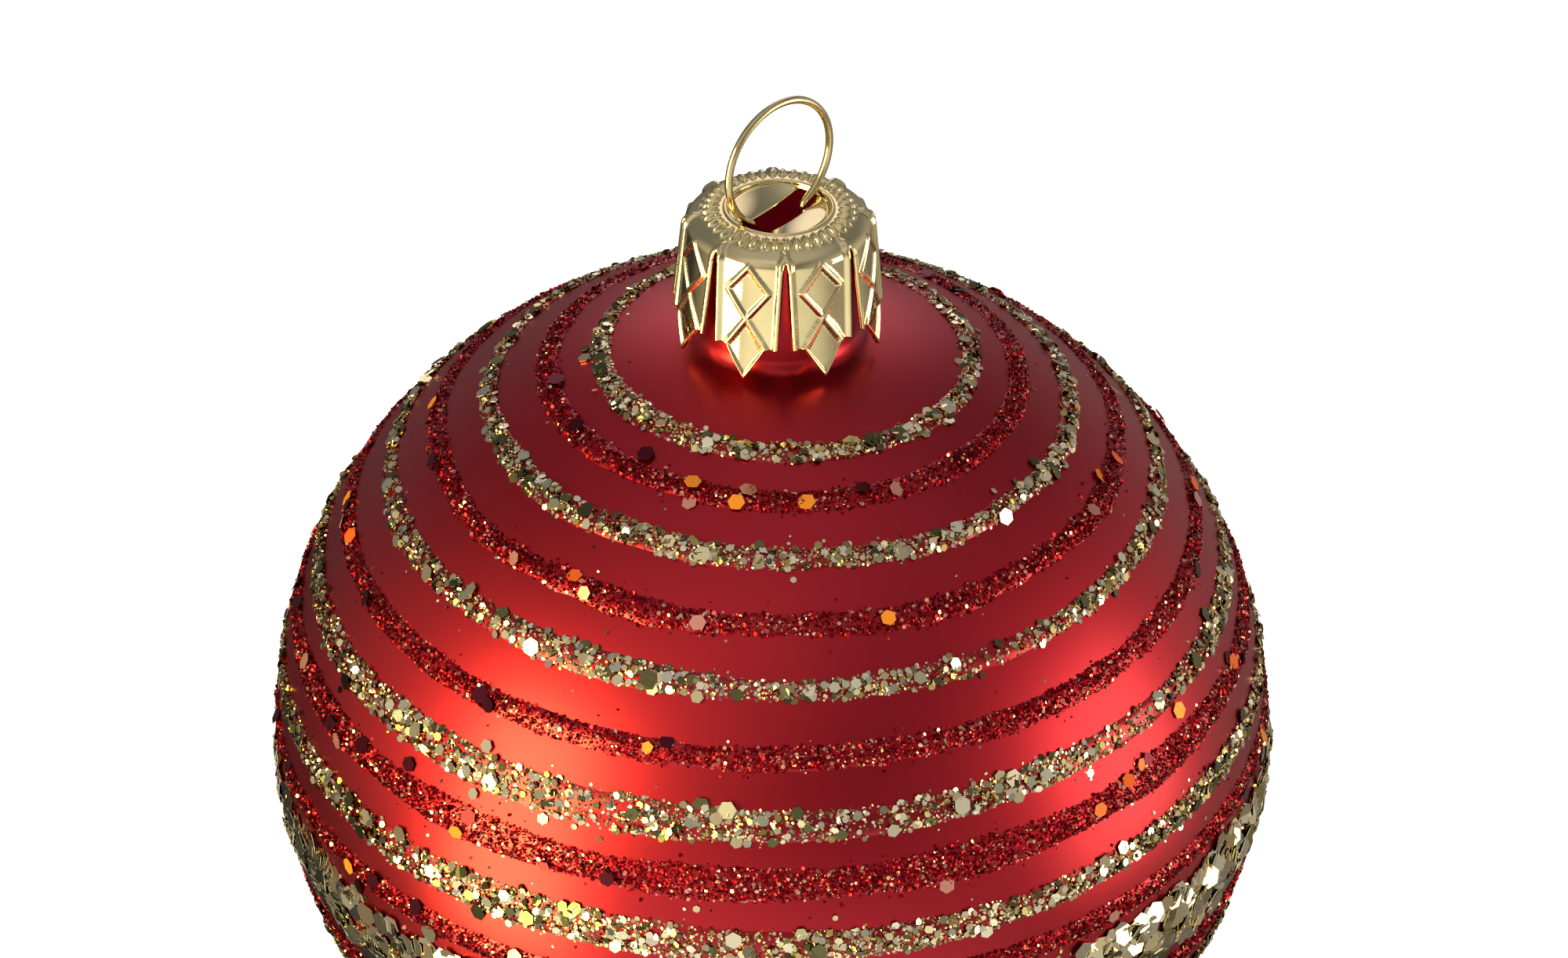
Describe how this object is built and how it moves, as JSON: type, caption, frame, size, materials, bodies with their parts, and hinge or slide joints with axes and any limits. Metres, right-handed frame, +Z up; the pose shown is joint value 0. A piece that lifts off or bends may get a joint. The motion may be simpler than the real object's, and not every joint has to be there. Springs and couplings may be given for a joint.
{
  "type": "glass ball ornament",
  "caption": "Hollow blown glass ball with a crimped crown cap, a sprung wire hanging loop and raised rings of red and gold glitter round it.",
  "frame": {"origin": "hang point: inside the top of the wire loop, on the axis of the ball", "axes": "+Z up along the axis of the ball, X across the wire loop, Y through the loop"},
  "size_m": [0.0812, 0.0812, 0.0939],
  "materials": {
    "lacquered_glass": "satin candy-red lacquer over a silvered glass wall",
    "gold_cap": "satin champagne-gold anodised sheet",
    "gilt_wire": "polished",
    "red_glitter": "fine red glitter in glue, with larger flakes",
    "gold_glitter": "mixed pale gold glitter flakes in clear glue",
    "gold_sequins": "large pale gold hexagon flakes laid like scales"
  },
  "bodies": {
    "hanger": {"hanger_wire": "gilt_wire"},
    "cap": {"crown_cap": "gold_cap"},
    "ball": {"glass_ball": "lacquered_glass", "glass_neck": "lacquered_glass", "gold_line_1": "gold_glitter", "red_line_1": "red_glitter", "gold_line_2": "gold_glitter", "red_line_2": "red_glitter", "gold_line_3": "gold_glitter", "red_line_3": "red_glitter", "gold_line_4": "gold_glitter", "red_line_4": "red_glitter", "gold_line_5": "gold_glitter", "red_line_5": "red_glitter", "sequin_band": "gold_sequins", "red_line_6": "red_glitter", "gold_line_6": "gold_glitter", "red_line_7": "red_glitter", "gold_line_7": "gold_glitter", "red_line_8": "red_glitter", "gold_line_8": "gold_glitter", "red_line_9": "red_glitter", "gold_line_9": "gold_glitter", "red_line_10": "red_glitter", "gold_line_10": "gold_glitter"}
  },
  "joints": [
    {"name": "cap_turn", "type": "hinge", "parent": "hanger", "child": "cap", "pos_m": [0, 0, -0.009], "axis": [0, 0, 1], "range_deg": [-25, 5]},
    {"name": "ball_pull_off", "type": "slide", "parent": "cap", "child": "ball", "axis": [0, 0, -1], "range_m": [0, 0.022]}
  ]
}
